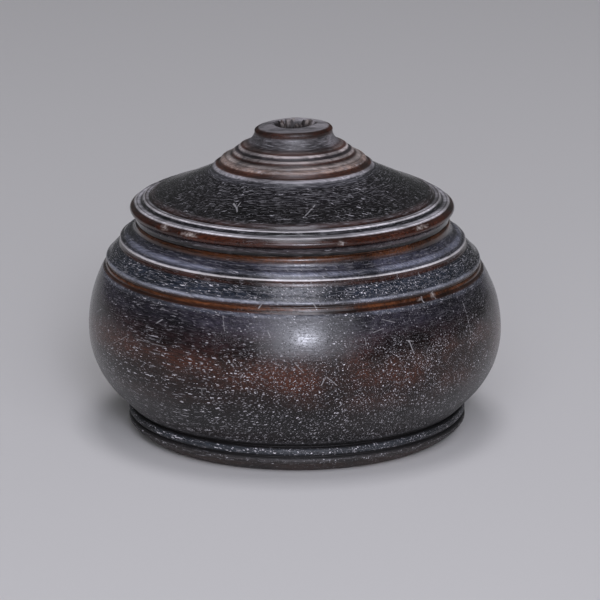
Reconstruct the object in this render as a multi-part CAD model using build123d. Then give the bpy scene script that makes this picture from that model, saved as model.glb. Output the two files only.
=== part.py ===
from build123d import *
import os

# A squat turned hardwood box: a bowl with a moulded shoulder and a foot, and a lift-off lid with a knob.
# Both pieces are turned about the Z axis. Z = 0 is the surface that the foot stands on. Sizes are in mm.
# A width is measured along the radius, a rise or a drop along Z, and a swell or a hollow square to the
# straight line between the two ends of its moulding.

# Belly of the body
belly_diameter = 100.0
belly_height = 25.9
belly_upper_rise = 15.3
belly_upper_tuck = 4.0
belly_lower_drop = 14.5
belly_lower_tuck = 5.9
belly_cone_drop = 4.0
belly_cone_tuck = 3.9

# Foot of the body, from the belly down
foot_groove_rise = 0.35
foot_groove_depth = 0.7
foot_bead_rise = 2.25
foot_bead_width = 0.6
foot_bead_swell = 1.2
foot_edge_rise = 1.6
foot_edge_width = 0.6
foot_edge_swell = 0.6
foot_roll_width = 5.1
foot_roll_swell = 0.35
foot_land_width = 5.5
foot_recess_depth = 1.2
foot_recess_slope = 2.0

# Shoulder of the body, from the belly up
belly_edge_rise = 0.4
belly_edge_width = 0.8
belly_edge_swell = 0.15
fine_bead_rise = 1.05
fine_bead_width = 0.45
fine_bead_swell = 0.3
second_edge_rise = 1.6
second_edge_width = 0.3
second_edge_swell = 0.6
band_rise = 2.55
band_width = 2.65
band_swell = 0.2
fine_ridge_rise = 0.7
fine_ridge_width = 0.35
fine_ridge_swell = 0.2
shoulder_ridge_rise = 1.05
shoulder_ridge_width = 0.4
shoulder_ridge_swell = 0.52
shelf_rise = 1.05
shelf_width = 1.2
shelf_swell = 0.15
cove_rise = 1.5
cove_width = 1.9
cove_hollow = 0.35
lip_rise = 1.25
lip_width = 0.3
lip_swell = 0.25

# Seat and spigot, where the lid fits
seat_width = 3.0
spigot_rise = 3.4
spigot_wall = 2.8
spigot_round = 0.5
lid_side_clearance = 0.3
lid_top_clearance = 0.5

# Hollow of the body
belly_wall = 6.0
floor_thickness = 7.3
floor_radius = 20.0
neck_depth = 6.0

# Rim of the lid, from the seat up
skirt_edge_round = 0.25
skirt_inset = 0.2
skirt_rise = 2.3
skirt_flare = 0.4
skirt_hollow = 0.2
rim_rise = 2.05
rim_width = 0.1
rim_swell = 0.98
rim_ridge_width = 1.1
rim_ridge_rise = 0.6
rim_ridge_swell = 0.33
rim_gap_width = 1.0
rim_gap_rise = 0.5
rim_gap_hollow = 0.2
dome_groove_width = 0.75
dome_groove_rise = 0.45
dome_groove_hollow = 0.2
dome_edge_width = 1.5
dome_edge_rise = 0.65
dome_edge_swell = 0.12

# Knob, collar and dome of the lid, from the axis outwards and down
knob_hollow_width = 4.3
knob_hollow_depth = 1.2
knob_top_width = 3.1
knob_top_drop = 0.2
knob_edge_width = 2.05
knob_edge_drop = 0.9
knob_wall_tuck = 0.1
knob_wall_drop = 0.7
neck_width = 2.6
neck_drop = 2.8
neck_hollow = 0.55
neck_step_width = 0.4
neck_step_drop = 0.3
upper_ridge_width = 0.95
upper_ridge_drop = 1.0
lower_ridge_width = 1.45
lower_ridge_drop = 0.9
collar_ridge_swell = 0.3
torus_groove_width = 0.65
torus_groove_drop = 0.45
torus_groove_hollow = 0.15
torus_ridge_width = 0.85
torus_ridge_drop = 0.5
torus_ridge_swell = 0.2
torus_width = 1.4
torus_drop = 0.9
torus_swell = 0.3
collar_groove_width = 0.9
collar_groove_drop = 0.7
collar_groove_hollow = 0.25
collar_bead_width = 0.95
collar_bead_drop = 1.1
collar_bead_swell = 0.25
dome_drop = 5.65
dome_hollow = 0.3

# Hollow of the lid
recess_ledge = 2.4
hollow_rise = 5.2


class Outline:
    # A closed outline in the plane of radius and height, drawn with the wood on its left.

    def __init__(self, radius, height):
        self.radius = radius
        self.height = height
        self.start = (radius, height)
        self.edges = []

    def to(self, radius, height, swell=0.0):
        # a line, or with a swell an arc that stands out from the wood, or hollows it if negative
        if swell:
            edge = SagittaArc((self.radius, self.height), (radius, height), -swell)
        else:
            edge = Line((self.radius, self.height), (radius, height))
        return self.add(edge, radius, height)

    def by(self, width, rise, swell=0.0):
        return self.to(self.radius + width, self.height + rise, swell)

    def bend_from(self, radius, height, tangent):
        # an arc that leaves the last point along the tangent
        edge = TangentArc((self.radius, self.height), (radius, height), tangent=tangent)
        return self.add(edge, radius, height)

    def bend_to(self, radius, height, tangent):
        # an arc whose far end lies along the tangent, which points back from there
        edge = TangentArc((radius, height), (self.radius, self.height), tangent=tangent)
        return self.add(edge, radius, height)

    def quarter(self, radius, height, level_first):
        # a quarter of an ellipse that leaves level and arrives upright, or the other way round
        if level_first:
            centre = (self.radius, height)
        else:
            centre = (radius, self.height)
        width = abs(radius - self.radius)
        rise = abs(height - self.height)
        right = max(radius, self.radius) > centre[0]
        above = max(height, self.height) > centre[1]
        quadrants = [(True, True), (False, True), (False, False), (True, False)]
        edge = EllipticalCenterArc(centre, width, rise, 90 * quadrants.index((right, above)), arc_size=90)
        return self.add(edge, radius, height)

    def add(self, edge, radius, height):
        self.edges.append(edge)
        self.radius = radius
        self.height = height
        return self

    def turned(self):
        # the solid that the outline sweeps about the Z axis
        self.to(*self.start)
        section = Plane.XZ * Face(Wire(self.edges))
        return revolve(section, Axis.Z, 360)


# Radii that the two pieces share, worked inwards from the belly
belly_radius = belly_diameter / 2
belly_top_radius = belly_radius - belly_upper_tuck
fine_bead_radius = belly_top_radius - belly_edge_width
second_edge_radius = fine_bead_radius - fine_bead_width
band_radius = second_edge_radius - second_edge_width
fine_ridge_radius = band_radius - band_width
shoulder_ridge_radius = fine_ridge_radius - fine_ridge_width
shelf_radius = shoulder_ridge_radius - shoulder_ridge_width
cove_radius = shelf_radius - shelf_width
lip_radius = cove_radius - cove_width
seat_radius = lip_radius - lip_width
spigot_radius = seat_radius - seat_width
mouth_radius = spigot_radius - spigot_wall

# Heights that the two pieces share
belly_top_height = belly_height + belly_upper_rise
fine_bead_height = belly_top_height + belly_edge_rise
second_edge_height = fine_bead_height + fine_bead_rise
band_height = second_edge_height + second_edge_rise
fine_ridge_height = band_height + band_rise
shoulder_ridge_height = fine_ridge_height + fine_ridge_rise
shelf_height = shoulder_ridge_height + shoulder_ridge_rise
cove_height = shelf_height + shelf_rise
lip_height = cove_height + cove_rise
seat_height = lip_height + lip_rise
spigot_height = seat_height + spigot_rise


def draw_foot(outline):
    cone_radius = belly_radius - belly_lower_tuck
    cone_height = belly_height - belly_lower_drop
    waist_radius = cone_radius - belly_cone_tuck
    waist_height = cone_height - belly_cone_drop
    groove_radius = waist_radius - foot_groove_depth
    groove_height = waist_height - foot_groove_rise
    bead_radius = groove_radius + foot_bead_width
    bead_height = groove_height - foot_bead_rise
    edge_radius = bead_radius + foot_edge_width
    edge_height = bead_height - foot_edge_rise
    foot_radius = edge_radius - foot_roll_width
    recess_radius = foot_radius - foot_land_width

    outline.to(recess_radius - foot_recess_slope, foot_recess_depth)
    outline.to(recess_radius, 0)
    outline.to(foot_radius, 0)
    outline.to(edge_radius, edge_height, foot_roll_swell)
    outline.to(bead_radius, bead_height, foot_edge_swell)
    outline.to(groove_radius, groove_height, foot_bead_swell)
    outline.to(waist_radius, waist_height)
    outline.to(cone_radius, cone_height)


def draw_belly(outline):
    outline.bend_to(belly_radius, belly_height, (0, -1))
    outline.bend_from(belly_top_radius, belly_top_height, (0, 1))


def draw_shoulder(outline):
    outline.to(fine_bead_radius, fine_bead_height, belly_edge_swell)
    outline.to(second_edge_radius, second_edge_height, fine_bead_swell)
    outline.to(band_radius, band_height, second_edge_swell)
    outline.to(fine_ridge_radius, fine_ridge_height, band_swell)
    outline.to(shoulder_ridge_radius, shoulder_ridge_height, fine_ridge_swell)
    outline.to(shelf_radius, shelf_height, shoulder_ridge_swell)
    outline.to(cove_radius, cove_height, shelf_swell)
    outline.to(lip_radius, lip_height, -cove_hollow)
    outline.to(seat_radius, seat_height, lip_swell)


def draw_spigot(outline):
    round_height = spigot_height - spigot_round
    outline.to(spigot_radius, seat_height)
    outline.to(spigot_radius, round_height)
    outline.quarter(spigot_radius - spigot_round, spigot_height, level_first=False)
    outline.to(mouth_radius + spigot_round, spigot_height)
    outline.quarter(mouth_radius, round_height, level_first=True)


def draw_body_hollow(outline):
    cavity_radius = belly_radius - belly_wall
    floor_height = foot_recess_depth + floor_thickness
    outline.to(mouth_radius, seat_height - neck_depth)
    outline.quarter(cavity_radius, belly_height, level_first=True)
    outline.quarter(floor_radius, floor_height, level_first=False)
    outline.to(0, floor_height)


def make_body():
    outline = Outline(0, foot_recess_depth)
    draw_foot(outline)
    draw_belly(outline)
    draw_shoulder(outline)
    draw_spigot(outline)
    draw_body_hollow(outline)
    return outline.turned()


def draw_rim(outline):
    skirt_radius = seat_radius + lip_width - skirt_inset
    outline.to(skirt_radius - skirt_edge_round, seat_height)
    outline.quarter(skirt_radius, seat_height + skirt_edge_round, level_first=True)
    outline.by(skirt_flare, skirt_rise - skirt_edge_round, -skirt_hollow)
    outline.by(-rim_width, rim_rise, rim_swell)
    outline.by(-rim_ridge_width, rim_ridge_rise, rim_ridge_swell)
    outline.by(-rim_gap_width, rim_gap_rise, -rim_gap_hollow)
    outline.by(-rim_ridge_width, rim_ridge_rise, rim_ridge_swell)
    outline.by(-dome_groove_width, dome_groove_rise, -dome_groove_hollow)
    outline.by(-dome_edge_width, dome_edge_rise, dome_edge_swell)


def draw_dome(outline):
    knob_radius = knob_hollow_width + knob_top_width + knob_edge_width - knob_wall_tuck
    ridge_radius = knob_radius + neck_width + neck_step_width + upper_ridge_width + lower_ridge_width
    torus_radius = ridge_radius + torus_groove_width + torus_ridge_width + torus_width
    collar_radius = torus_radius + collar_groove_width + collar_bead_width
    outline.to(collar_radius, outline.height + dome_drop, -dome_hollow)


def draw_collar(outline):
    outline.by(-collar_bead_width, collar_bead_drop, collar_bead_swell)
    outline.by(-collar_groove_width, collar_groove_drop, -collar_groove_hollow)
    outline.by(-torus_width, torus_drop, torus_swell)
    outline.by(-torus_ridge_width, torus_ridge_drop, torus_ridge_swell)
    outline.by(-torus_groove_width, torus_groove_drop, -torus_groove_hollow)
    outline.by(-lower_ridge_width, lower_ridge_drop, collar_ridge_swell)
    outline.by(-upper_ridge_width, upper_ridge_drop, collar_ridge_swell)
    outline.by(-neck_step_width, neck_step_drop)
    outline.by(-neck_width, neck_drop, -neck_hollow)


def draw_knob(outline):
    outline.by(knob_wall_tuck, knob_wall_drop)
    outline.quarter(outline.radius - knob_edge_width, outline.height + knob_edge_drop, level_first=False)
    outline.by(-knob_top_width, knob_top_drop)
    outline.bend_to(0, outline.height - knob_hollow_depth, (1, 0))


def draw_lid_hollow(outline):
    recess_radius = spigot_radius + lid_side_clearance
    recess_height = spigot_height + lid_top_clearance
    hollow_radius = recess_radius - recess_ledge
    outline.to(0, recess_height + hollow_rise)
    outline.bend_from(hollow_radius, recess_height, (1, 0))
    outline.to(recess_radius, recess_height)


def make_lid():
    outline = Outline(spigot_radius + lid_side_clearance, seat_height)
    draw_rim(outline)
    draw_dome(outline)
    draw_collar(outline)
    draw_knob(outline)
    draw_lid_hollow(outline)
    return outline.turned()


os.makedirs("parts", exist_ok=True)
export_step(make_body(), "parts/box_body.step")
export_step(make_lid(), "parts/lid.step")
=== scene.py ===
import math

import bpy
import numpy as np
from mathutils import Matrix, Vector, noise


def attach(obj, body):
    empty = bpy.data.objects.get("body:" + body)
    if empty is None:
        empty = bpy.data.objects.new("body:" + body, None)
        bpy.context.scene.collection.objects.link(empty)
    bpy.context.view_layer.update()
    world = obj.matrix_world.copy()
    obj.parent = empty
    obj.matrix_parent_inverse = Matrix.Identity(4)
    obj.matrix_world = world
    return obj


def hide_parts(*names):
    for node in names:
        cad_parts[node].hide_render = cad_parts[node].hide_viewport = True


# A squat turned box of dark hardwood with a lift-off lid. Both pieces are lathed again from the
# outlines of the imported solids, then worn, chipped and coloured ring by ring. Lengths are in
# millimetres until a mesh is made or the camera is placed; the floor and the lamps are in metres.
# Turns round a piece are in degrees, to the right of the front. Shader nodes take radians.

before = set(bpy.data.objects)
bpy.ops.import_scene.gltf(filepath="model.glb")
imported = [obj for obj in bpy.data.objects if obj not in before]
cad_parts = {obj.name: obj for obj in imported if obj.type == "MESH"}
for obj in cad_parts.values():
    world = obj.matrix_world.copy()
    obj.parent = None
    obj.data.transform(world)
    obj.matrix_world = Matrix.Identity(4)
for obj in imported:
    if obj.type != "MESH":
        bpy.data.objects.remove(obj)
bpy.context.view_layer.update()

MM = 0.001

# Turning
SEGMENTS = 256
FINE_STEP = 0.05
SEAM_ROOM = 0.001
BLUR_WIDTHS = 3
WORN_CORNER = 0.1
BEND_REACH = 0.22
RING_REACH = 0.6
HALVING_BEND = 0.16
HIDDEN_STEP = 1.7
BODY_STEPS = (0.15, 0.9)
LID_STEPS = (0.12, 0.4)
RUB_DROP = 0.15

# The wood moved as it dried, and the box leans a little. DOME_ASIDE says how far right of the lean
# the lid stands at the heights of DOME_SPAN. The shoulder and the rim sink fully between the inner
# two heights of their spans, and not at all outside the outer two.
LEAN = -0.0227
LEAN_LEVEL = 25.9
DOME_SPAN = (58.0, 63.0, 70.0, 75.0)
DOME_ASIDE = (0.0, 0.50, 0.65, 0.80)
LID_TILT = 0.0078
TILT_SPAN = (57.0, 62.0)
SHOULDER_SINK = 0.30
SHOULDER_TILT = -0.0075
SHOULDER_SPAN = (33.0, 38.0, 50.2, 52.2)
RIM_SINK = 0.25
RIM_SPAN = (52.6, 54.5, 59.5, 62.0)
KNOB_WEAR = 0.05
KNOB_SPAN = (73.0, 75.0)


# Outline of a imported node

def seam_outline(node):
    """The node's outline as (radius, height), from the axis round to the axis again."""
    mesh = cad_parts[node].data
    places = np.zeros(len(mesh.vertices) * 3)
    mesh.vertices.foreach_get("co", places)
    places = np.round(places.reshape(-1, 3) / MM, 3)
    on_seam = (np.abs(places[:, 1]) < SEAM_ROOM) & (places[:, 0] > -SEAM_ROOM)
    ends = np.zeros(len(mesh.edges) * 2, int)
    mesh.edges.foreach_get("vertices", ends)
    ends = ends.reshape(-1, 2)
    near = {}
    for first, second in ends[on_seam[ends[:, 0]] & on_seam[ends[:, 1]]]:
        a = tuple(places[first][[0, 2]])
        b = tuple(places[second][[0, 2]])
        if a != b:
            near.setdefault(a, set()).add(b)
            near.setdefault(b, set()).add(a)
    free = sorted(point for point in near if len(near[point]) == 1)
    chain = [free[-1]]
    last = None
    while True:
        ahead = [point for point in near[chain[-1]] if point != last]
        if not ahead:
            break
        last = chain[-1]
        chain.append(ahead[0])
    if chain[0][0] > 0:
        chain.insert(0, (0.0, chain[0][1]))
    if chain[-1][0] > 0:
        chain.append((0.0, chain[-1][1]))
    return np.array(chain)


def spread(outline, step):
    """The outline at even steps along its length."""
    lengths = np.hypot(*np.diff(outline, axis=0).T)
    along = np.concatenate([[0.0], np.cumsum(lengths)])
    count = int(along[-1] / step) + 1
    places = np.linspace(0, along[-1], count)
    return np.stack([np.interp(places, along, outline[:, k]) for k in (0, 1)], 1)


def fine_outline(node):
    """The node's outline at even steps. It starts at the lower of its two ends on the axis."""
    outline = spread(seam_outline(node), FINE_STEP)
    if outline[0, 1] > outline[-1, 1]:
        outline = outline[::-1]
    return outline


def blurred(values, width):
    """The values softened along the outline, ends held."""
    reach = int(math.ceil(BLUR_WIDTHS * width / FINE_STEP))
    bell = np.exp(-0.5 * (np.arange(-reach, reach + 1) * FINE_STEP / width) ** 2)
    bell /= bell.sum()
    before = 2 * values[0] - values[reach:0:-1]
    after = 2 * values[-1] - values[-2:-reach - 2:-1]
    return np.convolve(np.concatenate([before, values, after]), bell, "valid")


def slope(outline):
    """The outline's unit direction at each point."""
    run = np.gradient(outline, axis=0)
    return run / np.maximum(np.hypot(run[:, 0], run[:, 1]), 1e-9)[:, None]


def bend(outline, reach):
    """How fast the outline turns, in radians per mm, smoothed: positive on crests."""
    run = slope(outline)
    heading = np.unwrap(np.arctan2(run[:, 1], run[:, 0]))
    return blurred(np.gradient(heading) / FINE_STEP, reach)


def rings(outline, finest, widest, hidden):
    """Picks the outline's points for the lathe: close on mouldings, wide on plain stretches."""
    sharp = np.abs(bend(outline, RING_REACH))
    step = np.clip(HALVING_BEND / (sharp + HALVING_BEND), finest, widest)
    step = np.where(hidden, step * HIDDEN_STEP, step)
    progress = np.concatenate([[0.0], np.cumsum(FINE_STEP / step[1:])])
    count = int(progress[-1]) + 1
    return np.interp(np.linspace(0, progress[-1], count), progress, np.arange(len(outline)))


def at(values, places):
    """The outline's values at places between its points."""
    return np.interp(places, np.arange(len(values)), values)


def prepare(outline, hidden, finest, widest):
    """What the lathe and the colours need to know of each ring."""
    sharp = bend(outline, BEND_REACH)
    soft = np.stack([blurred(outline[:, 0], WORN_CORNER), blurred(outline[:, 1], WORN_CORNER)], 1)
    picks = rings(outline, finest, widest, hidden)
    run = slope(soft)
    data = {
        "radius": at(soft[:, 0], picks),
        "height": at(soft[:, 1], picks),
        "out_r": at(run[:, 1], picks),
        "out_z": at(-run[:, 0], picks),
        "bend": at(sharp, picks),
        "rubbing": at(sharp, picks + RUB_DROP / FINE_STEP),
        "hidden": at(hidden.astype(float), picks) > 0.5,
        "along": picks * FINE_STEP,
    }
    data["radius"][0] = 0.0
    data["radius"][-1] = 0.0
    return data


# Wear

WANDER_COUNTS = (2, 3, 5, 9, 17, 31)
WANDER_START = 1.7
WANDER_POWER = 1.3
WANDER_SPAN = 1.8
CREST_LIMIT = 2.5
CREST_WEAR = 0.03
CREST_STRENGTH = 0.9
CREST_PHASE = 1.1
CREST_TWIST = 0.05
PLAIN_WEAR = 0.05
PLAIN_STRENGTH = 0.5
PLAIN_PHASE = 0.4

# How a break's edge strays: how far, waves across, waves upward, start
RAGGED = [
    (0.18, 9, 3, 0.0),
    (0.12, 17, -5, 1.3),
]
CHIP_FLANK = 1.25
CHIP_ROUNDING = 0.6


def wander(turn, strength, phase):
    """A smooth irregular line round the piece, mostly between -1 and 1."""
    total = np.zeros_like(turn)
    for index, count in enumerate(WANDER_COUNTS):
        start = phase * (index + WANDER_START) ** WANDER_POWER
        total = total + strength ** index * np.sin(count * np.radians(turn) + start)
    return total / WANDER_SPAN


def apart(turn, other):
    """Signed difference of two turns, in degrees."""
    return (turn - other + 180) % 360 - 180


def chip(turn, height, radius, place, size, depth):
    """Depth of a break: place is (turn, height), size is (half width, half height)."""
    aside = np.radians(apart(turn, place[0])) * radius / size[0]
    up = (height - place[1]) / size[1]
    away = np.sqrt(aside ** 2 + up ** 2)
    for amount, across, upward, start in RAGGED:
        away = away + amount * np.sin(across * aside + upward * up + start)
    return depth * np.clip(CHIP_FLANK * (1 - away), 0, 1) ** CHIP_ROUNDING


def worn_away(data, turn, radius, height, shown, chips):
    """How deep wear and breaks go at each point, and how broken it is."""
    crest = np.clip(data["bend"], 0, CREST_LIMIT)[:, None] * shown
    phase = CREST_PHASE + CREST_TWIST * data["height"][:, None]
    drop = CREST_WEAR * (1 + wander(turn, CREST_STRENGTH, phase)) * crest
    drop = drop + PLAIN_WEAR * shown * (1 + wander(turn, PLAIN_STRENGTH, PLAIN_PHASE))
    broken = np.zeros_like(turn)
    for place, size, depth in chips:
        cut = chip(turn, height, radius, place, size, depth) * shown
        drop = np.maximum(drop, cut)
        broken = np.maximum(broken, np.clip(cut / depth, 0, 1))
    return drop, broken


def body_settle(height, aside, shown):
    """The shoulder sank a little as it dried, more to the right. Foot and seat keep their level."""
    share = np.interp(height, SHOULDER_SPAN, (0, 1, 1, 0)) * shown
    return share * (SHOULDER_TILT * aside - SHOULDER_SINK)


def lid_settle(height, aside, shown):
    """The dome and the knob tilt a little, the knob's left is worn and the rim sank at its outside."""
    tilt = np.interp(height, TILT_SPAN, (0, 1)) * LID_TILT * aside
    worn = np.interp(height, KNOB_SPAN, (0, 1)) * KNOB_WEAR * np.minimum(aside, 0)
    return tilt + worn - RIM_SINK * np.interp(height, RIM_SPAN, (0, 1, 1, 0)) * shown


# The broken knob

KNOB_FLOOR = 74.0
KNOB_SIDE = 8.0
KNOB_HOLLOW = 5.1
HOLLOW_ASIDE = 0.3
HOLLOW_BACK = 2.0
HOLLOW_SINK = 1.9
HOLLOW_WALL = 0.4
EDGE_COARSE = 0.5
EDGE_FINE = 0.25
FLOOR_COARSE = 0.5
FLOOR_FINE = 0.35
TOP_COARSE = 0.15
DARK_EDGE = 0.3
RISE = 5
SPLINTER_REACH = 0.35
SPLINTER_FROM = 0.12
SPLINTER_RAW = 0.7
SPECK_FROM = 0.32
SPECK_LIFT = 0.7
SPECK_RAW = 0.4

# Roughness: scale and offset of the noise
COARSE = (0.55, Vector((3.1, 7.7, 0.2)))
FINE = (1.3, Vector((1.1, 2.7, 9.2)))
SPLINTER = (0.9, Vector((6.3, 1.9, 4.4)))


def rough(place, kind):
    scale, offset = kind
    return noise.noise(place * scale + offset)


def limited(value):
    return min(max(value, 0.0), 1.0)


def knob_hollow(place):
    """Lift, painted shade and raw wood at one place on the knob's top."""
    coarse = rough(place, COARSE)
    fine = rough(place, FINE)
    away = math.hypot(place[0] - HOLLOW_ASIDE, place[1] + HOLLOW_BACK)
    edge = KNOB_HOLLOW + EDGE_COARSE * coarse + EDGE_FINE * fine - away
    inner = limited(edge / HOLLOW_WALL)
    # painted shade over the hollow, fading out just past its edge
    dark = limited((edge + DARK_EDGE) / DARK_EDGE)
    floor = FLOOR_COARSE * coarse + FLOOR_FINE * fine - HOLLOW_SINK
    lift = inner * floor - (1 - inner) * TOP_COARSE * abs(coarse)
    band = max(1 - abs(edge) / SPLINTER_REACH, 0.0)
    raw = limited(RISE * (rough(place, SPLINTER) - SPLINTER_FROM)) * band
    speck = limited(RISE * (fine - SPECK_FROM)) * inner
    return lift + SPECK_LIFT * speck, dark, max(SPLINTER_RAW * raw, SPECK_RAW * speck)


def knob_damage(turn, radius, height, shown):
    """The knob's top is broken: a rough sunk hollow with a splintered edge, darkened with painted shade.
    """
    lift = np.zeros_like(turn)
    hollow = np.zeros_like(turn)
    raw = np.zeros_like(turn)
    on_top = (height[:, 0] > KNOB_FLOOR) & (radius[:, 0] < KNOB_SIDE) & (shown[:, 0] > 0.5)
    for row in np.where(on_top)[0]:
        for k in range(turn.shape[1]):
            angle = math.radians(turn[row, k])
            place = Vector((math.sin(angle), math.cos(angle), 0.0)) * radius[row, k]
            lift[row, k], hollow[row, k], raw[row, k] = knob_hollow(place)
    return lift, hollow, raw


def no_damage(turn, radius, height, shown):
    nothing = np.zeros_like(turn)
    return nothing, nothing, nothing


# Lathe

def lathe(name, radius, height, turn, shift, lift):
    """A closed turned mesh. radius and height are (rings, segments); both end rings are on the axis."""
    ring_count, segment_count = radius.shape
    angle = np.radians(turn)
    x = radius * np.sin(angle) + shift
    y = -radius * np.cos(angle)
    z = height + lift
    middle = np.stack([x, y, z], 2)[1:-1].reshape(-1, 3)
    start = [x[0].mean(), 0.0, z[0].mean()]
    end = [x[-1].mean(), 0.0, z[-1].mean()]
    points = np.concatenate([[start], middle, [end]]) * MM
    inner = ring_count - 2
    lane = np.arange(segment_count)
    ahead = (lane + 1) % segment_count
    faces = []
    for k in lane:
        faces.append((0, 1 + ahead[k], 1 + k))
    for row in range(inner - 1):
        low = 1 + row * segment_count
        high = low + segment_count
        for k in lane:
            faces.append((low + k, low + ahead[k], high + ahead[k], high + k))
    low = 1 + (inner - 1) * segment_count
    for k in lane:
        faces.append((low + k, low + ahead[k], len(points) - 1))
    mesh = bpy.data.meshes.new(name)
    mesh.from_pydata([tuple(p) for p in points], [], [tuple(int(i) for i in f) for f in faces])
    mesh.shade_smooth()
    piece = bpy.data.objects.new(name, mesh)
    bpy.context.scene.collection.objects.link(piece)
    return piece


def per_point(values):
    """A (rings, segments) array as one value for each point of the lathed mesh."""
    start = values[0].mean(axis=0, keepdims=True)
    end = values[-1].mean(axis=0, keepdims=True)
    middle = values[1:-1].reshape((-1,) + values.shape[2:])
    return np.concatenate([start, middle, end])


def paint(piece, name, values):
    """Keeps the values as an attribute of the mesh: a colour if each has three numbers."""
    flat = per_point(values)
    if flat.ndim > 1:
        layer = piece.data.attributes.new(name, "FLOAT_COLOR", "POINT")
        flat = np.concatenate([flat, np.ones((len(flat), 1))], 1)
        layer.data.foreach_set("color", flat.astype(np.float32).ravel())
    else:
        layer = piece.data.attributes.new(name, "FLOAT", "POINT")
        layer.data.foreach_set("value", flat.astype(np.float32))


# Zones: (top height, ground colour, pores, rubbing on crests, turning lines, half width of the blend
# into the next zone)

# Painted shade: near black, laid where shade falls: the two grooves by the foot under the belly's
# overhang, the parting gap and the rim bead's underside
SHADE_BLACK = (0.0035, 0.0028, 0.0028)
BROWN = (0.036, 0.0095, 0.0036)
SLATE = (0.0100, 0.0125, 0.0185)
DARK_SLATE = (0.010, 0.0095, 0.011)
FOOT_DUST = (0.013, 0.0105, 0.0095)
# Lower belly: the dark wood made darker still with painted shade of the underside, darker towards the
# bottom
BELLY_LOW_SHADE = (0.0040, 0.0020, 0.0019)
BELLY_RED = (0.025, 0.0056, 0.0016)
BELLY_MID = (0.013, 0.0066, 0.0074)
BELLY_TOP = (0.016, 0.0140, 0.0195)
PALE = (0.430, 0.410, 0.425)
THIN = 0.05
BODY_ZONES = [
    (0.6, BROWN, 0.3, 0.0, 0.3, 0.3),
    (3.1, (0.016, 0.0080, 0.0055), 0.5, 0.0, 0.1, 0.3),
    (4.35, FOOT_DUST, 0.9, 0.0, 0.35, 0.09),
    # painted shade: the groove above the foot and the one under the belly are near black
    (5.20, SHADE_BLACK, 0.0, 0.0, 0.0, 0.09),
    (6.85, (0.009, 0.0110, 0.014), 1.3, 0.0, 0.4, 0.09),
    (8.0, SHADE_BLACK, 0.0, 0.0, 0.0, 0.15),
    (8.7, (0.012, 0.011, 0.012), 1.0, 0.0, 0.5, 0.15),
    # painted shade on the lower belly
    (13.0, BELLY_LOW_SHADE, 1.15, 0.0, 0.05, 2.5),
    (21.0, BELLY_LOW_SHADE, 1.0, 0.0, 0.05, 4.5),
    (31.5, BELLY_RED, 1.0, 0.0, 0.05, 2.0),
    (36.5, BELLY_MID, 0.6, 0.0, 0.15, 1.6),
    (40.55, BELLY_TOP, 0.5, 0.0, 0.25, 0.2),
    # painted highlight: a pale bluish band on the belly's top edge
    (41.40, (0.046, 0.048, 0.060), 1.0, 0.0, 0.7, THIN),
    (41.80, (0.028, 0.0095, 0.0045), 0.0, 0.0, 0.0, THIN),
    (42.62, (0.058, 0.0190, 0.0066), 0.1, 0.0, 0.1, THIN),
    (43.05, (0.028, 0.0095, 0.0045), 0.1, 0.0, 0.0, THIN),
    (43.50, (0.042, 0.040, 0.047), 0.8, 0.0, 0.7, THIN),
    (44.02, (0.125, 0.130, 0.152), 0.7, 0.1, 1.0, THIN),
    (44.40, (0.022, 0.024, 0.031), 0.9, 0.0, 0.8, 0.09),
    (46.75, SLATE, 1.15, 0.05, 0.7, 0.09),
    (48.03, (0.024, 0.0085, 0.0060), 0.4, 0.0, 0.2, THIN),
    (48.47, PALE, 0.0, 0.8, 0.3, THIN),
    (49.10, (0.030, 0.030, 0.038), 0.4, 0.0, 0.8, 0.09),
    (49.66, (0.100, 0.104, 0.132), 0.5, 0.0, 0.8, 0.09),
    (51.05, (0.028, 0.0275, 0.038), 0.35, 0.0, 0.6, 0.09),
    (60.0, (0.044, 0.0138, 0.0045), 0.1, 0.0, 0.1, 0.09),
]
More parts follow.
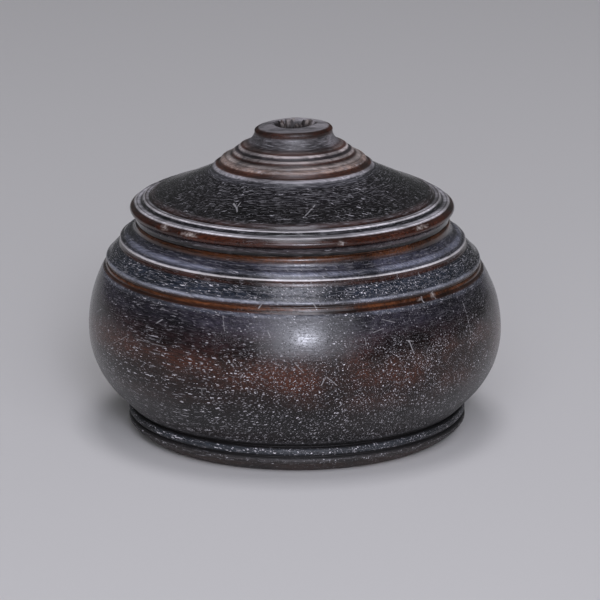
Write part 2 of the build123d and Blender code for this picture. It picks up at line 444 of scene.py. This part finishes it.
LID_ZONES = [
    # painted shade: the parting gap and the rim bead's underside are near black
    (53.4, SHADE_BLACK, 0.0, 0.0, 0.2, 0.15),
    (54.65, (0.034, 0.0270, 0.0285), 0.3, 0.1, 0.6, 0.09),
    (54.95, SHADE_BLACK, 0.0, 0.0, 0.0, 0.09),
    (56.80, (0.027, 0.0066, 0.0026), 0.1, 0.0, 0.1, THIN),
    (57.02, (0.030, 0.0150, 0.0120), 0.0, 0.0, 0.3, THIN),
    (57.36, PALE, 0.0, 0.5, 0.3, 0.03),
    (58.12, DARK_SLATE, 0.2, 0.0, 0.6, THIN),
    (58.44, PALE, 0.0, 0.6, 0.3, 0.03),
    (58.86, (0.020, 0.0090, 0.0070), 0.0, 0.0, 0.2, THIN),
    (59.40, (0.034, 0.0240, 0.0235), 0.2, 0.0, 0.8, 0.15),
    (62.0, (0.0044, 0.0036, 0.0039), 0.62, 0.0, 0.30, 0.9),
    (64.6, (0.0060, 0.0052, 0.0062), 0.6, 0.0, 0.8, 0.2),
    (65.42, (0.032, 0.031, 0.035), 0.4, 0.0, 1.0, THIN),
    (66.16, (0.225, 0.214, 0.222), 0.3, 0.1, 1.0, THIN),
    (67.12, (0.046, 0.0165, 0.0095), 0.0, 0.0, 0.1, 0.09),
    (67.95, (0.232, 0.168, 0.140), 0.4, 0.0, 1.0, 0.09),
    (68.42, (0.255, 0.214, 0.192), 0.0, 0.1, 0.6, 0.09),
    (69.02, (0.044, 0.0185, 0.0130), 0.0, 0.0, 0.1, THIN),
    (69.60, (0.230, 0.195, 0.180), 0.0, 0.1, 0.6, THIN),
    (70.14, (0.032, 0.0240, 0.0250), 0.0, 0.0, 0.3, THIN),
    (70.62, (0.330, 0.287, 0.272), 0.0, 0.1, 0.6, THIN),
    (70.92, (0.056, 0.0260, 0.0200), 0.0, 0.0, 0.1, THIN),
    (71.18, (0.100, 0.0740, 0.0660), 0.0, 0.0, 0.4, THIN),
    (71.55, (0.042, 0.0280, 0.0270), 0.0, 0.0, 0.3, 0.2),
    (73.80, (0.092, 0.085, 0.088), 0.3, 0.0, 0.9, 0.12),
    (75.27, (0.028, 0.0090, 0.0050), 0.0, 0.0, 0.0, 0.06),
    (80.0, (0.210, 0.195, 0.198), 0.5, 0.05, 0.9, 0.09),
]
GROUND = 1
PORED = 2
RUBBED = 3
LINED = 4
BLEND = 5
BELOW_ALL = -10.0


def zone_values(height, zones, column):
    """The zones' values at the rings' heights, blended where two zones meet."""
    heights = []
    values = []
    floor = BELOW_ALL
    for zone in zones:
        heights += [floor, zone[0] - zone[BLEND]]
        values += [zone[column], zone[column]]
        floor = zone[0] + zone[BLEND]
    values = np.array(values, float)
    if values.ndim == 1:
        return np.interp(height, heights, values)
    return np.stack([np.interp(height, heights, values[:, k]) for k in range(3)], -1)


# Values that the wood is coloured by

# Painted shade: the near-black colour of the knob's broken hollow
KNOB_HOLLOW_SHADE = np.array((0.006, 0.0038, 0.0032))
INSIDE_WOOD = np.array((0.075, 0.040, 0.026))
INSIDE_PORES = 0.15
INSIDE_LINES = 0.3
RUBBED_FROM = 0.6
RUBBED_GAIN = 0.9
# Painted shade in the grooves: starts where the outline bends inwards this fast, and grows by this gain
GROOVE_SHADE_FROM = 0.35
GROOVE_SHADE_GAIN = 0.45
DRY_TOP = 24.0
DRY_DULL = 1.3
MATT_FROM = 64.8
MATT_BLEND = 0.6
MATT_DULL = 0.5


def paint_wood(piece, data, zones, shown, hollow, broken):
    """Ground colour, pores, lines, rubbed crests, painted shade in grooves, breaks and dullness at each
    point.
    """
    grid = np.ones_like(hollow)
    height = data["height"]
    seen = shown[:, 0]
    plain = 1 - hollow
    ground = grid[:, :, None] * zone_values(height, zones, GROUND)[:, None, :]
    ground = np.where(data["hidden"][:, None, None], INSIDE_WOOD, ground)
    # the knob's hollow gets painted shade
    paint(piece, "ground", ground + hollow[:, :, None] * (KNOB_HOLLOW_SHADE - ground))
    pored = zone_values(height, zones, PORED) * seen + INSIDE_PORES * (1 - seen)
    paint(piece, "pored", plain * pored[:, None])
    lined = zone_values(height, zones, LINED) * seen + INSIDE_LINES * (1 - seen)
    paint(piece, "lined", plain * lined[:, None])
    crest = np.clip(RUBBED_GAIN * (data["rubbing"] - RUBBED_FROM), 0, 1)
    rubbed = zone_values(height, zones, RUBBED) * crest * seen
    paint(piece, "rubbed", grid * rubbed[:, None])
    # painted shade in the grooves: darker the more sharply the outline bends inwards
    groove_shade = np.clip(-data["bend"] - GROOVE_SHADE_FROM, 0, 1) * GROOVE_SHADE_GAIN * seen
    paint(piece, "groove_shade", grid * groove_shade[:, None])
    paint(piece, "broken", broken)
    dull = np.clip((DRY_TOP - height) / DRY_TOP, 0, 1) * DRY_DULL
    dull = dull + np.clip((height - MATT_FROM) / MATT_BLEND, 0, 1) * MATT_DULL
    paint(piece, "dull", np.maximum(grid * dull[:, None], np.maximum(hollow, broken)))
    paint(piece, "level", grid * height[:, None])
    paint(piece, "along", grid * data["along"][:, None])


def worn_piece(name, data, zones, chips, damage, settle):
    """Builds the mesh: rings moved inwards by wear and breaks, then leaned and tilted, then painted."""
    grid = np.ones((len(data["radius"]), SEGMENTS))
    turn = grid * (np.arange(SEGMENTS) * 360.0 / SEGMENTS)[None, :]
    radius = grid * data["radius"][:, None]
    height = grid * data["height"][:, None]
    shown = np.where(data["hidden"], 0.0, 1.0)[:, None]
    drop, broken = worn_away(data, turn, radius, height, shown, chips)
    extra, hollow, raw = damage(turn, radius, height, shown)
    radius = radius - drop * data["out_r"][:, None]
    raised = extra - drop * data["out_z"][:, None]
    aside = radius * np.sin(np.radians(turn))
    shift = LEAN * (height - LEAN_LEVEL) + np.interp(height, DOME_SPAN, DOME_ASIDE)
    radius[0] = 0.0
    radius[-1] = 0.0
    piece = lathe(name, radius, height, turn, shift, raised + settle(height, aside, shown))
    paint_wood(piece, data, zones, shown, hollow, np.maximum(broken, raw))
    return piece


# Shader nodes

class Tree:
    """Short calls for the nodes that the wood is made of."""

    def __init__(self, tree):
        self.tree = tree

    def node(self, kind, inputs, **settings):
        made = self.tree.nodes.new(kind)
        for key, value in settings.items():
            setattr(made, key, value)
        for key, value in inputs.items():
            if isinstance(value, bpy.types.NodeSocket):
                self.tree.links.new(value, made.inputs[key])
            else:
                made.inputs[key].default_value = value
        return made

    def number(self, operation, *values, clamp=False):
        inputs = dict(enumerate(values))
        return self.node("ShaderNodeMath", inputs, operation=operation, use_clamp=clamp).outputs[0]

    def vector(self, operation, *values, output=0):
        inputs = dict(enumerate(values))
        return self.node("ShaderNodeVectorMath", inputs, operation=operation).outputs[output]

    def mix(self, factor, first, second, blend="MIX"):
        inputs = {0: factor, 6: first, 7: second}
        return self.node("ShaderNodeMix", inputs, data_type="RGBA", blend_type=blend).outputs[2]

    def between(self, value, low, high):
        """0 at low, 1 at high, smooth between."""
        inputs = {"Value": value, "From Min": low, "From Max": high}
        return self.node("ShaderNodeMapRange", inputs, interpolation_type="SMOOTHSTEP").outputs[0]

    def ranged(self, value, low, high):
        """A value from 0 to 1 spread from low to high."""
        inputs = {"Value": value, "To Min": low, "To Max": high}
        return self.node("ShaderNodeMapRange", inputs).outputs[0]

    def attribute(self, name, output="Fac"):
        return self.node("ShaderNodeAttribute", {}, attribute_name=name).outputs[output]

    def noise(self, place, scale, detail=2.0, rough=0.5, output="Fac"):
        inputs = {"Vector": place, "Scale": scale, "Detail": detail, "Roughness": rough}
        return self.node("ShaderNodeTexNoise", inputs).outputs[output]

    def stretched(self, place, scale, turn=(0.0, 0.0, 0.0)):
        turned = self.node("ShaderNodeMapping", {"Vector": place, "Rotation": turn}, vector_type="TEXTURE")
        return self.node("ShaderNodeMapping", {"Vector": turned.outputs[0], "Scale": scale}).outputs[0]

    def turn_and_radius(self, place):
        """The turn round the axis, in radians to the right of the front, and the distance from it."""
        parts = self.node("ShaderNodeSeparateXYZ", {0: place})
        x = parts.outputs[0]
        y = self.number("MULTIPLY", parts.outputs[1], -1.0)
        squares = self.number("ADD", self.number("MULTIPLY", x, x), self.number("MULTIPLY", y, y))
        return self.number("ARCTAN2", x, y), self.number("SQRT", squares)

    def flat(self, around, along):
        return self.node("ShaderNodeCombineXYZ", {0: around, 1: along}).outputs[0]


# Wood: figure and grain, as (stretch, span of the noise, shades)

FIGURE = ((0.035, 0.09, 0.12), (0.35, 0.65), (0.35, 1.6))
GRAIN = ((0.2, 2.2, 2.2), (0.25, 0.75), (0.5, 1.5))
GRAIN_DETAIL = 3.0


def with_grain(nodes, place, colour, fibre_turn, kind):
    """The colour shaded by a noise that runs along the fibre, and that noise."""
    stretch, span, shades = kind
    pattern = nodes.noise(nodes.stretched(place, stretch, (0, 0, fibre_turn)), 1.0, GRAIN_DETAIL)
    level = nodes.ranged(nodes.between(pattern, *span), *shades)
    grey = nodes.node("ShaderNodeCombineXYZ", {0: level, 1: level, 2: level}).outputs[0]
    return nodes.mix(1.0, colour, grey, "MULTIPLY"), pattern


# Wood: pores

# Distance apart, length, least chance to be filled, how pale, how strongly a zone rules them
POROUS = [
    (0.27, 1.7, 0.94, 0.85, 2.0),
    (0.37, 3.3, 0.98, 0.95, 2.0),
    (0.54, 8.0, 1.12, 1.0, 1.0),
]
PORE_EASE = 0.7
PORE_FILL = (0.640, 0.615, 0.640, 1.0)
PORE_DARK = (0.003, 0.002, 0.002, 1.0)
PORE_SHADE = 0.5
PORE_STRAY = (0.5, 0.5, 0.5)
NOISE_MIDDLE = (0.5, 0.5, 0.5)
STRAY_SCALE = 1.6
PORE_WIDTH = 0.13
PORE_WIDER = 0.20
PORE_EDGE = (1.2, 0.6)
PALER_FROM = 0.2
PATCH_APART = 90
PATCH_SCALE = 0.13
PATCH_DETAIL = 3.0
PATCH_ROUGH = 0.6
PATCH_GAIN = 1.6


def pores(nodes, place, fibre_turn, size, length):
    """Open pores: short streaks along the fibre, dots where it meets the surface end on.

    Gives where they are, each one's chance to be filled, and how pale its filling is."""
    stray = nodes.noise(place, STRAY_SCALE, detail=1.0, output="Color")
    stray = nodes.vector("SUBTRACT", stray, NOISE_MIDDLE)
    place = nodes.vector("ADD", place, nodes.vector("MULTIPLY", stray, PORE_STRAY))
    cells = nodes.stretched(place, (1.0 / length, 1.0 / size, 1.0 / size), (0.0, 0.0, fibre_turn))
    found = nodes.node("ShaderNodeTexVoronoi", {"Vector": cells, "Scale": 1.0, "Randomness": 1.0})
    own = nodes.node("ShaderNodeSeparateColor", {"Color": found.outputs["Color"]})
    width = nodes.number("MULTIPLY_ADD", own.outputs[0], PORE_WIDER, PORE_WIDTH)
    mask = nodes.between(nodes.number("DIVIDE", found.outputs["Distance"], width), *PORE_EDGE)
    paleness = nodes.number("ADD", own.outputs[2], PALER_FROM)
    return mask, own.outputs[1], paleness


def with_pores(nodes, place, colour, fibre_turn):
    """The colour with dark pores, many of them filled pale, and where the pores are."""
    zone = nodes.attribute("pored")
    hollows = 0.0
    for size, length, least, fill, rule in POROUS:
        mask, chance, paleness = pores(nodes, place, fibre_turn, size, length)
        patch_place = nodes.vector("ADD", place, (size * PATCH_APART, 0, 0))
        patch = nodes.noise(patch_place, PATCH_SCALE, PATCH_DETAIL, PATCH_ROUGH)
        chance = nodes.number("ADD", chance, nodes.number("MULTIPLY", patch, PATCH_GAIN))
        filled = nodes.between(chance, least, least + PORE_EASE)
        shown = nodes.number("MULTIPLY", mask, nodes.number("POWER", zone, rule))
        colour = nodes.mix(nodes.number("MULTIPLY", shown, PORE_SHADE), colour, PORE_DARK)
        pale = nodes.number("MULTIPLY", shown, filled)
        pale = nodes.number("MULTIPLY", pale, nodes.number("MULTIPLY", paleness, fill))
        colour = nodes.mix(pale, colour, PORE_FILL)
        hollows = nodes.number("ADD", shown, hollows)
    return colour, hollows


# Wood: turning lines, scratches, wear and painted shade in the grooves

LINE_PALE = (0.290, 0.281, 0.292, 1.0)
LINE_STRENGTH = 0.55
LINE_ROUND = 0.35
LINE_ACROSS = 3.4
LINE_ROUGH = 0.6
LINE_SPAN = (0.5, 0.74)

# Hairlines: how the set is turned in radians, stretch, width
HAIRLINES = [
    ((0.0, 0.5, 0.9), (0.05, 1.5, 1.5), 0.006),
    ((0.3, -0.8, 0.2), (0.06, 1.3, 1.3), 0.005),
    ((0.0, 1.5, 0.1), (0.07, 1.8, 1.8), 0.006),
]
HAIRLINE_PATCH = 0.09
HAIRLINE_SPAN = (0.52, 0.68)
HAIRLINE_STRENGTH = 0.25
SCRATCH_PALE = (0.300, 0.290, 0.290, 1.0)
SCRATCH_PATCH = 1.7
SCRATCH_SPAN = (0.30, 0.52)
MARK_EDGE = (0.8, 0.25)

PALE_RUB = (0.500, 0.470, 0.450, 1.0)
RUB_SCALE = 0.8
RUB_DETAIL = 4.0
RUB_ROUGH = 0.65
RUB_SPAN = (0.22, 0.5)
# Painted shade: the near-black colour laid into the grooves
GROOVE_SHADE = (0.004, 0.003, 0.003, 1.0)
RAW_DARK = (0.05, 0.030, 0.022, 1)
RAW_PALE = (0.38, 0.33, 0.30, 1)
RAW_SCALE = 1.3
RAW_DETAIL = 4.0
RAW_SPAN = (0.35, 0.65)


def turning_lines(nodes, turn, radius):
    """Broken fine lines that the turning tool left, running round the piece."""
    around = nodes.number("MULTIPLY", nodes.number("MULTIPLY", turn, radius), LINE_ROUND)
    along = nodes.number("MULTIPLY", nodes.attribute("along"), LINE_ACROSS)
    level = nodes.noise(nodes.flat(around, along), 1.0, detail=1.0, rough=LINE_ROUGH)
    return nodes.between(level, *LINE_SPAN)


def hairlines(nodes, place):
    """Long fine scratches, each set running its own way, in patches."""
    patch = nodes.between(nodes.noise(place, HAIRLINE_PATCH, detail=1.0), *HAIRLINE_SPAN)
    total = 0.0
    for turn, stretch, width in HAIRLINES:
        level = nodes.noise(nodes.stretched(place, stretch, turn), 1.0, detail=0.0)
        away = nodes.number("ABSOLUTE", nodes.number("SUBTRACT", level, 0.5))
        line = nodes.number("MULTIPLY", nodes.between(away, width, 0.0), patch)
        total = nodes.number("MAXIMUM", total, line)
    return total


def mark(nodes, flat, first, second, width):
    """One scratch between two places of the unrolled surface."""
    along = second - first
    away = nodes.vector("SUBTRACT", flat, first)
    share = nodes.vector("DOT_PRODUCT", away, along / along.length_squared, output=1)
    share = nodes.number("MAXIMUM", nodes.number("MINIMUM", share, 1.0), 0.0)
    nearest = nodes.node("ShaderNodeVectorMath", {0: along, "Scale": share}, operation="SCALE").outputs[0]
    gap = nodes.vector("DISTANCE", away, nearest, output=1)
    return nodes.between(gap, width * MARK_EDGE[0], width * MARK_EDGE[1])


def scratches(nodes, place, turn, fine, marks):
    """The hairlines and the single marks, faded in patches."""
    level = nodes.attribute("level")
    total = nodes.number("MULTIPLY", fine, HAIRLINE_STRENGTH)
    for radius, start, end, width, strength in marks:
        flat = nodes.flat(nodes.number("MULTIPLY", turn, radius), level)
        first = Vector((math.radians(start[0]) * radius, start[1], 0))
        second = Vector((math.radians(end[0]) * radius, end[1], 0))
        line = nodes.number("MULTIPLY", mark(nodes, flat, first, second, width), strength)
        total = nodes.number("MAXIMUM", total, line)
    patch = nodes.between(nodes.noise(place, SCRATCH_PATCH), *SCRATCH_SPAN)
    return nodes.number("MULTIPLY", total, patch)


def with_wear_and_shade(nodes, place, colour):
    """The colour with pale rubbed crests, and painted shade, near black, in the grooves."""
    patch = nodes.between(nodes.noise(place, RUB_SCALE, RUB_DETAIL, RUB_ROUGH), *RUB_SPAN)
    rubbed = nodes.number("MULTIPLY", nodes.attribute("rubbed"), patch, clamp=True)
    colour = nodes.mix(rubbed, colour, PALE_RUB)
    # painted shade in the grooves
    return nodes.mix(nodes.attribute("groove_shade"), colour, GROOVE_SHADE)


def with_breaks(nodes, place, colour):
    """The colour with raw wood where a piece broke out."""
    patch = nodes.between(nodes.noise(place, RAW_SCALE, RAW_DETAIL), *RAW_SPAN)
    return nodes.mix(nodes.attribute("broken"), colour, nodes.mix(patch, RAW_DARK, RAW_PALE))


# Wood: the whole material

PORE_RELIEF = -0.04
LINE_RELIEF = 0.008
GRAIN_RELIEF = 0.004
HAIRLINE_RELIEF = 0.012
TURNING_RELIEF = 0.005
POLISH = (0.15, 0.23)
POLISH_SCALE = 0.35
POLISH_DETAIL = 3.0
DULL_ROUGHNESS = 0.4
SHINE = 0.45


def wood_relief(nodes, hollows, raised):
    """The fine relief: pores sink, and each pattern in raised lifts the surface by its height."""
    relief = nodes.number("MULTIPLY", hollows, PORE_RELIEF)
    for pattern, height in raised:
        relief = nodes.number("MULTIPLY_ADD", pattern, height, relief)
    return relief


def wood(name, fibre_turn, marks):
    """Dark waxed hardwood: ring colour, figure, pores, rubbed crests, painted groove shade, scratches."""
    material = bpy.data.materials.new(name)
    material.use_nodes = True
    material.node_tree.nodes.clear()
    nodes = Tree(material.node_tree)
    coordinates = nodes.node("ShaderNodeTexCoord", {})
    place = nodes.vector("MULTIPLY", coordinates.outputs["Object"], (1 / MM, 1 / MM, 1 / MM))
    turn, radius = nodes.turn_and_radius(place)
    colour = nodes.attribute("ground", "Color")
    colour, _ = with_grain(nodes, place, colour, fibre_turn, FIGURE)
    colour, grain = with_grain(nodes, place, colour, fibre_turn, GRAIN)
    turning = turning_lines(nodes, turn, radius)
    lines = nodes.number("MULTIPLY", turning, nodes.attribute("lined"))
    colour = nodes.mix(nodes.number("MULTIPLY", lines, LINE_STRENGTH), colour, LINE_PALE)
    colour, hollows = with_pores(nodes, place, colour, fibre_turn)
    colour = with_wear_and_shade(nodes, place, colour)
    fine = hairlines(nodes, place)
    colour = nodes.mix(scratches(nodes, place, turn, fine, marks), colour, SCRATCH_PALE)
    colour = with_breaks(nodes, place, colour)
    relief = wood_relief(nodes, hollows, (
        (lines, LINE_RELIEF),
        (grain, GRAIN_RELIEF),
        (fine, HAIRLINE_RELIEF),
        (turning, TURNING_RELIEF),
    ))
    bump = nodes.node("ShaderNodeBump", {"Height": relief, "Distance": MM, "Strength": 1.0})
    polish = nodes.ranged(nodes.noise(place, POLISH_SCALE, POLISH_DETAIL), *POLISH)
    shader = nodes.node("ShaderNodeBsdfPrincipled", {
        "Base Color": colour,
        "Roughness": nodes.number("MULTIPLY_ADD", nodes.attribute("dull"), DULL_ROUGHNESS, polish),
        "Specular IOR Level": SHINE,
        "Normal": bump.outputs[0],
    })
    nodes.node("ShaderNodeOutputMaterial", {"Surface": shader.outputs[0]})
    return material


# Marks and breaks, and the turn of the fibre in each piece

BODY_FIBRE = math.radians(-40)
LID_FIBRE = 0.0

# Scratches: radius, start and end as (turn, height), width, strength
BODY_MARKS = [
    (49.0, (57.5, 39.0), (56.9, 30.9), 0.22, 0.6),
    (49.0, (32.8, 33.5), (33.8, 30.5), 0.25, 0.7),
    (49.0, (32.0, 33.6), (34.2, 33.1), 0.22, 0.7),
    (50.0, (7.0, 24.9), (8.3, 27.2), 0.2, 0.7),
    (50.0, (8.3, 27.2), (11.3, 24.9), 0.2, 0.7),
    (48.0, (22.2, 36.6), (25.5, 37.3), 0.18, 0.5),
    (47.0, (25.6, 39.3), (29.4, 38.3), 0.18, 0.5),
    (47.0, (-20.8, 40.3), (-19.7, 37.1), 0.18, 0.5),
    (48.0, (-7.5, 37.7), (-6.6, 36.4), 0.2, 0.5),
    (49.8, (-28.2, 22.8), (-24.4, 23.0), 0.2, 0.6),
    (49.8, (-25.6, 22.9), (-25.8, 21.1), 0.2, 0.6),
    (49.8, (0.1, 30.4), (2.4, 28.2), 0.18, 0.5),
    (48.0, (-41.8, 36.2), (-39.9, 37.3), 0.25, 0.7),
    (49.5, (-58.9, 28.3), (-51.2, 32.0), 0.18, 0.4),
    (49.5, (-49.1, 31.5), (-37.2, 31.4), 0.18, 0.4),
    (48.8, (19.7, 35.1), (19.7, 33.8), 0.2, 0.5),
    (45.2, (-10.6, 42.4), (-9.4, 43.5), 0.25, 0.8),
    (45.2, (5.6, 43.5), (6.5, 42.3), 0.25, 0.8),
    (42.0, (44.3, 47.1), (44.4, 46.3), 0.25, 0.8),
    (45.5, (41.2, 42.4), (41.3, 41.3), 0.3, 0.8),
    (45.4, (46.0, 42.9), (46.5, 41.5), 0.3, 0.8),
]
LID_MARKS = [
    (27.0, (-32.1, 61.7), (-28.8, 61.2), 0.2, 0.8),
    (27.0, (-28.9, 61.9), (-28.8, 61.2), 0.2, 0.8),
    (28.5, (-28.8, 61.2), (-27.0, 60.7), 0.2, 0.7),
    (28.0, (3.8, 60.3), (10.3, 61.9), 0.16, 0.7),
    (39.0, (16.8, 56.1), (16.8, 55.3), 0.2, 0.7),
]

# Breaks: place (turn, height), half width and half height, depth
BODY_CHIPS = [
    ((41.2, 42.1), (0.45, 0.5), 0.25),
    ((46.3, 42.2), (0.40, 0.5), 0.25),
    ((118.0, 48.2), (2.2, 0.6), 0.40),
    ((-140.0, 43.8), (2.6, 0.7), 0.45),
    ((160.0, 3.0), (2.4, 1.1), 0.40),
]
LID_CHIPS = [
    ((-51.0, 56.5), (1.6, 0.7), 0.45),
    ((-38.0, 56.3), (2.4, 0.6), 0.45),
    ((52.0, 56.3), (2.6, 0.5), 0.35),
    ((16.8, 55.9), (0.9, 0.6), 0.30),
    ((112.0, 56.4), (2.2, 0.7), 0.45),
    ((-118.0, 56.2), (2.8, 0.7), 0.50),
    ((174.0, 57.3), (1.8, 0.6), 0.45),
]


# Pieces. What the closed lid covers takes no wear and stays plain brown.

SEAT_LEVEL = 52.3
SEAT_RADIUS = 37.4
LID_EDGE_RADIUS = 37.5
LID_EDGE_LEVEL = 52.35


def body_hidden(outline):
    """Everything from the seat on: seat, spigot and cavity."""
    reached = (outline[:, 1] > SEAT_LEVEL) & (outline[:, 0] < SEAT_RADIUS)
    return np.arange(len(outline)) >= int(np.argmax(reached))


def lid_hidden(outline):
    """Everything up to the edge that rests on the seat: the hollow under the dome and the recess."""
    away = np.abs(outline[:, 0] - LID_EDGE_RADIUS) + np.abs(outline[:, 1] - LID_EDGE_LEVEL)
    return np.arange(len(outline)) <= int(np.argmin(away))


def make_body():
    outline = fine_outline("box_body")
    data = prepare(outline, body_hidden(outline), *BODY_STEPS)
    piece = worn_piece("bowl_wood", data, BODY_ZONES, BODY_CHIPS, no_damage, body_settle)
    piece.data.materials.append(wood("body_wood", BODY_FIBRE, BODY_MARKS))
    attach(piece, "bowl")
    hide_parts("box_body")


def make_lid():
    outline = fine_outline("lid")
    data = prepare(outline, lid_hidden(outline), *LID_STEPS)
    piece = worn_piece("lid_wood", data, LID_ZONES, LID_CHIPS, knob_damage, lid_settle)
    piece.data.materials.append(wood("lid_wood", LID_FIBRE, LID_MARKS))
    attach(piece, "cover")
    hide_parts("lid")


# Floor, light and camera

FLOOR_HALF = 4.0
FLOOR_COLOUR = (0.65, 0.635, 0.61, 1)
FLOOR_ROUGHNESS = 0.9
FLOOR_SHINE = 0.1
ROOM_COLOUR = (0.95, 0.97, 1.0, 1)
ROOM_STRENGTH = 0.09
SOFT_COLOUR = (0.90, 0.90, 1.0)
FRONT_COLOUR = (0.84, 0.86, 1.0)

# Lamps: name, shape, azimuth, elevation, distance, width, height, power, colour
LAMPS = [
    ("softbox", "RECTANGLE", 7, 26, 2.4, 2.4, 2.0, 29, SOFT_COLOUR),
    ("softbox middle", "RECTANGLE", 4, 25, 2.35, 1.2, 1.7, 20, FRONT_COLOUR),
    ("hot spot", "ELLIPSE", 7, 24, 2.3, 0.50, 0.40, 16, FRONT_COLOUR),
    ("top", "RECTANGLE", 8, 80, 2.2, 0.7, 1.1, 14, SOFT_COLOUR),
]
AIM_ASIDE = 1.24
AIM_HEIGHT = 31.83
CAMERA_DISTANCE = 900.0
CAMERA_ELEVATION = 15.396
CAMERA_LENS = 222.75
SENSOR_WIDTH = 36.0


def make_floor():
    material = bpy.data.materials.new("floor")
    material.use_nodes = True
    shader = material.node_tree.nodes["Principled BSDF"]
    shader.inputs["Base Color"].default_value = FLOOR_COLOUR
    shader.inputs["Roughness"].default_value = FLOOR_ROUGHNESS
    shader.inputs["Specular IOR Level"].default_value = FLOOR_SHINE
    mesh = bpy.data.meshes.new("floor")
    corners = [(x * FLOOR_HALF, y * FLOOR_HALF, 0) for x, y in ((-1, -1), (1, -1), (1, 1), (-1, 1))]
    mesh.from_pydata(corners, [], [(0, 1, 2, 3)])
    mesh.materials.append(material)
    floor = bpy.data.objects.new("floor", mesh)
    bpy.context.scene.collection.objects.link(floor)


def around(azimuth, elevation, distance):
    """A point round the object, azimuth to the right of the camera's side."""
    a = math.radians(azimuth)
    e = math.radians(elevation)
    return Vector((math.sin(a) * math.cos(e), -math.cos(a) * math.cos(e), math.sin(e))) * distance


def face(placed, target):
    """Puts a lamp or the camera in the scene, looking at the target."""
    placed.rotation_mode = "QUATERNION"
    placed.rotation_quaternion = (target - placed.location).to_track_quat("-Z", "Y")
    bpy.context.scene.collection.objects.link(placed)


def make_lamp(name, shape, azimuth, elevation, distance, wide, tall, power, colour):
    light = bpy.data.lights.new(name, "AREA")
    light.shape = shape
    light.size = wide
    light.size_y = tall
    light.energy = power
    light.color = colour
    lamp = bpy.data.objects.new(name, light)
    target = Vector((0, 0, AIM_HEIGHT * MM))
    lamp.location = target + around(azimuth, elevation, distance)
    lamp.visible_camera = False
    face(lamp, target)


def make_world():
    world = bpy.data.worlds.new("studio")
    bpy.context.scene.world = world
    world.use_nodes = True
    back = world.node_tree.nodes["Background"]
    back.inputs["Color"].default_value = ROOM_COLOUR
    back.inputs["Strength"].default_value = ROOM_STRENGTH


def make_camera():
    data = bpy.data.cameras.new("camera")
    data.sensor_width = SENSOR_WIDTH
    data.lens = CAMERA_LENS
    camera = bpy.data.objects.new("camera", data)
    target = Vector((AIM_ASIDE, 0, AIM_HEIGHT)) * MM
    camera.location = target + around(0, CAMERA_ELEVATION, CAMERA_DISTANCE * MM)
    face(camera, target)
    bpy.context.scene.camera = camera


make_body()
make_lid()
make_floor()
for lamp in LAMPS:
    make_lamp(*lamp)
make_world()
make_camera()

scene = bpy.context.scene
scene.view_settings.view_transform = "Standard"
